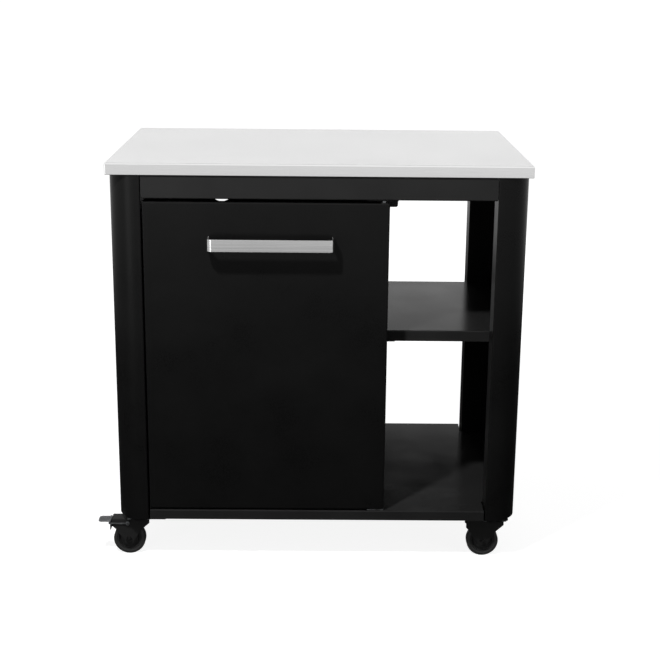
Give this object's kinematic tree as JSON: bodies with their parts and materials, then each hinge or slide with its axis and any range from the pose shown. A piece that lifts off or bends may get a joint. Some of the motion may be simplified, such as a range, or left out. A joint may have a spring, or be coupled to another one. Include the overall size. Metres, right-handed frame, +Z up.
{
  "type": "grill cart",
  "caption": "Rolling outdoor kitchen cart with a stainless steel worktop, a hinged cabinet door, an open side bay with a shelf, and braked swivel casters.",
  "frame": {"origin": "floor point under the middle of the worktop, with the wheels standing on Z = 0", "axes": "+X to the right as seen from the door side, +Y to the rear, away from the door, +Z up"},
  "size_m": [0.946, 0.633, 0.9],
  "materials": {
    "stainless_steel": "brushed stainless steel sheet",
    "board": "raw moisture-resistant board",
    "charcoal_coat": "satin charcoal powder coat on steel sheet",
    "caster_coat": "black powder coat on pressed steel",
    "zinc_steel": "zinc-plated steel",
    "black_plastic": "moulded black nylon",
    "grommet_rubber": "moulded black rubber",
    "tyre_rubber": "moulded grey-black rubber tread"
  },
  "bodies": {
    "frame": {"worktop_skin": "stainless_steel", "worktop_core": "board", "worktop_screws": "zinc_steel", "column_front_left": "charcoal_coat", "column_front_right": "charcoal_coat", "column_rear_left": "charcoal_coat", "column_rear_right": "charcoal_coat", "rail_front": "charcoal_coat", "rail_rear": "charcoal_coat", "rail_left": "charcoal_coat", "rail_right": "charcoal_coat", "base_panel": "charcoal_coat", "mid_shelf": "charcoal_coat", "shelf_supports": "zinc_steel", "shelf_screws": "zinc_steel", "divider_panel": "charcoal_coat", "side_panel_left": "charcoal_coat", "side_panel_right": "charcoal_coat", "back_panel": "charcoal_coat", "hose_grommet": "grommet_rubber", "hinge_bracket_top": "zinc_steel", "hinge_bracket_bottom": "zinc_steel", "hinge_pins": "zinc_steel", "hinge_screws": "zinc_steel", "door_catch": "black_plastic", "corner_plates": "zinc_steel", "caster_plate_front_left": "zinc_steel", "caster_plate_front_right": "zinc_steel", "caster_plate_rear_left": "zinc_steel", "caster_plate_rear_right": "zinc_steel", "kingpins": "zinc_steel", "caster_bolts": "zinc_steel"},
    "door": {"door_skin": "charcoal_coat", "door_liner": "charcoal_coat", "handle": "stainless_steel", "handle_screws": "zinc_steel", "hinge_bushes": "black_plastic", "catch_strike": "zinc_steel"},
    "swivel_front_left": {"caster_fork_front_left": "caster_coat", "wheel_axle_front_left": "zinc_steel", "pedal_pin_front_left": "zinc_steel"},
    "wheel_front_left": {"wheel_core_front_left": "black_plastic", "wheel_tyre_front_left": "tyre_rubber"},
    "swivel_front_right": {"caster_fork_front_right": "caster_coat", "wheel_axle_front_right": "zinc_steel"},
    "wheel_front_right": {"wheel_core_front_right": "black_plastic", "wheel_tyre_front_right": "tyre_rubber"},
    "swivel_rear_left": {"caster_fork_rear_left": "caster_coat", "wheel_axle_rear_left": "zinc_steel", "pedal_pin_rear_left": "zinc_steel"},
    "wheel_rear_left": {"wheel_core_rear_left": "black_plastic", "wheel_tyre_rear_left": "tyre_rubber"},
    "swivel_rear_right": {"caster_fork_rear_right": "caster_coat", "wheel_axle_rear_right": "zinc_steel"},
    "wheel_rear_right": {"wheel_core_rear_right": "black_plastic", "wheel_tyre_rear_right": "tyre_rubber"},
    "pedal_front_left": {"brake_pedal_front_left": "caster_coat"},
    "pedal_rear_left": {"brake_pedal_rear_left": "caster_coat"}
  },
  "joints": [
    {"name": "door_hinge", "type": "hinge", "parent": "frame", "child": "door", "pos_m": [0.137, -0.285, 0.4715], "axis": [0, 0, 1], "range_deg": [0, 110]},
    {"name": "swivel_front_left", "type": "hinge", "parent": "frame", "child": "swivel_front_left", "pos_m": [-0.402, -0.252, 0.085], "axis": [0, 0, 1], "continuous": true},
    {"name": "wheel_spin_front_left", "type": "hinge", "parent": "swivel_front_left", "child": "wheel_front_left", "pos_m": [-0.4265, -0.252, 0.036], "axis": [0, 1, 0], "continuous": true},
    {"name": "swivel_front_right", "type": "hinge", "parent": "frame", "child": "swivel_front_right", "pos_m": [0.402, -0.252, 0.085], "axis": [0, 0, 1], "continuous": true},
    {"name": "wheel_spin_front_right", "type": "hinge", "parent": "swivel_front_right", "child": "wheel_front_right", "pos_m": [0.3775, -0.252, 0.036], "axis": [0, 1, 0], "continuous": true},
    {"name": "swivel_rear_left", "type": "hinge", "parent": "frame", "child": "swivel_rear_left", "pos_m": [-0.402, 0.252, 0.085], "axis": [0, 0, 1], "continuous": true},
    {"name": "wheel_spin_rear_left", "type": "hinge", "parent": "swivel_rear_left", "child": "wheel_rear_left", "pos_m": [-0.4265, 0.252, 0.036], "axis": [0, 1, 0], "continuous": true},
    {"name": "swivel_rear_right", "type": "hinge", "parent": "frame", "child": "swivel_rear_right", "pos_m": [0.402, 0.252, 0.085], "axis": [0, 0, 1], "continuous": true},
    {"name": "wheel_spin_rear_right", "type": "hinge", "parent": "swivel_rear_right", "child": "wheel_rear_right", "pos_m": [0.3775, 0.252, 0.036], "axis": [0, 1, 0], "continuous": true},
    {"name": "pedal_front_left", "type": "hinge", "parent": "swivel_front_left", "child": "pedal_front_left", "pos_m": [-0.429, -0.252, 0.076], "axis": [0, -1, 0], "range_deg": [0, 16]},
    {"name": "pedal_rear_left", "type": "hinge", "parent": "swivel_rear_left", "child": "pedal_rear_left", "pos_m": [-0.429, 0.252, 0.076], "axis": [0, -1, 0], "range_deg": [0, 16]}
  ]
}
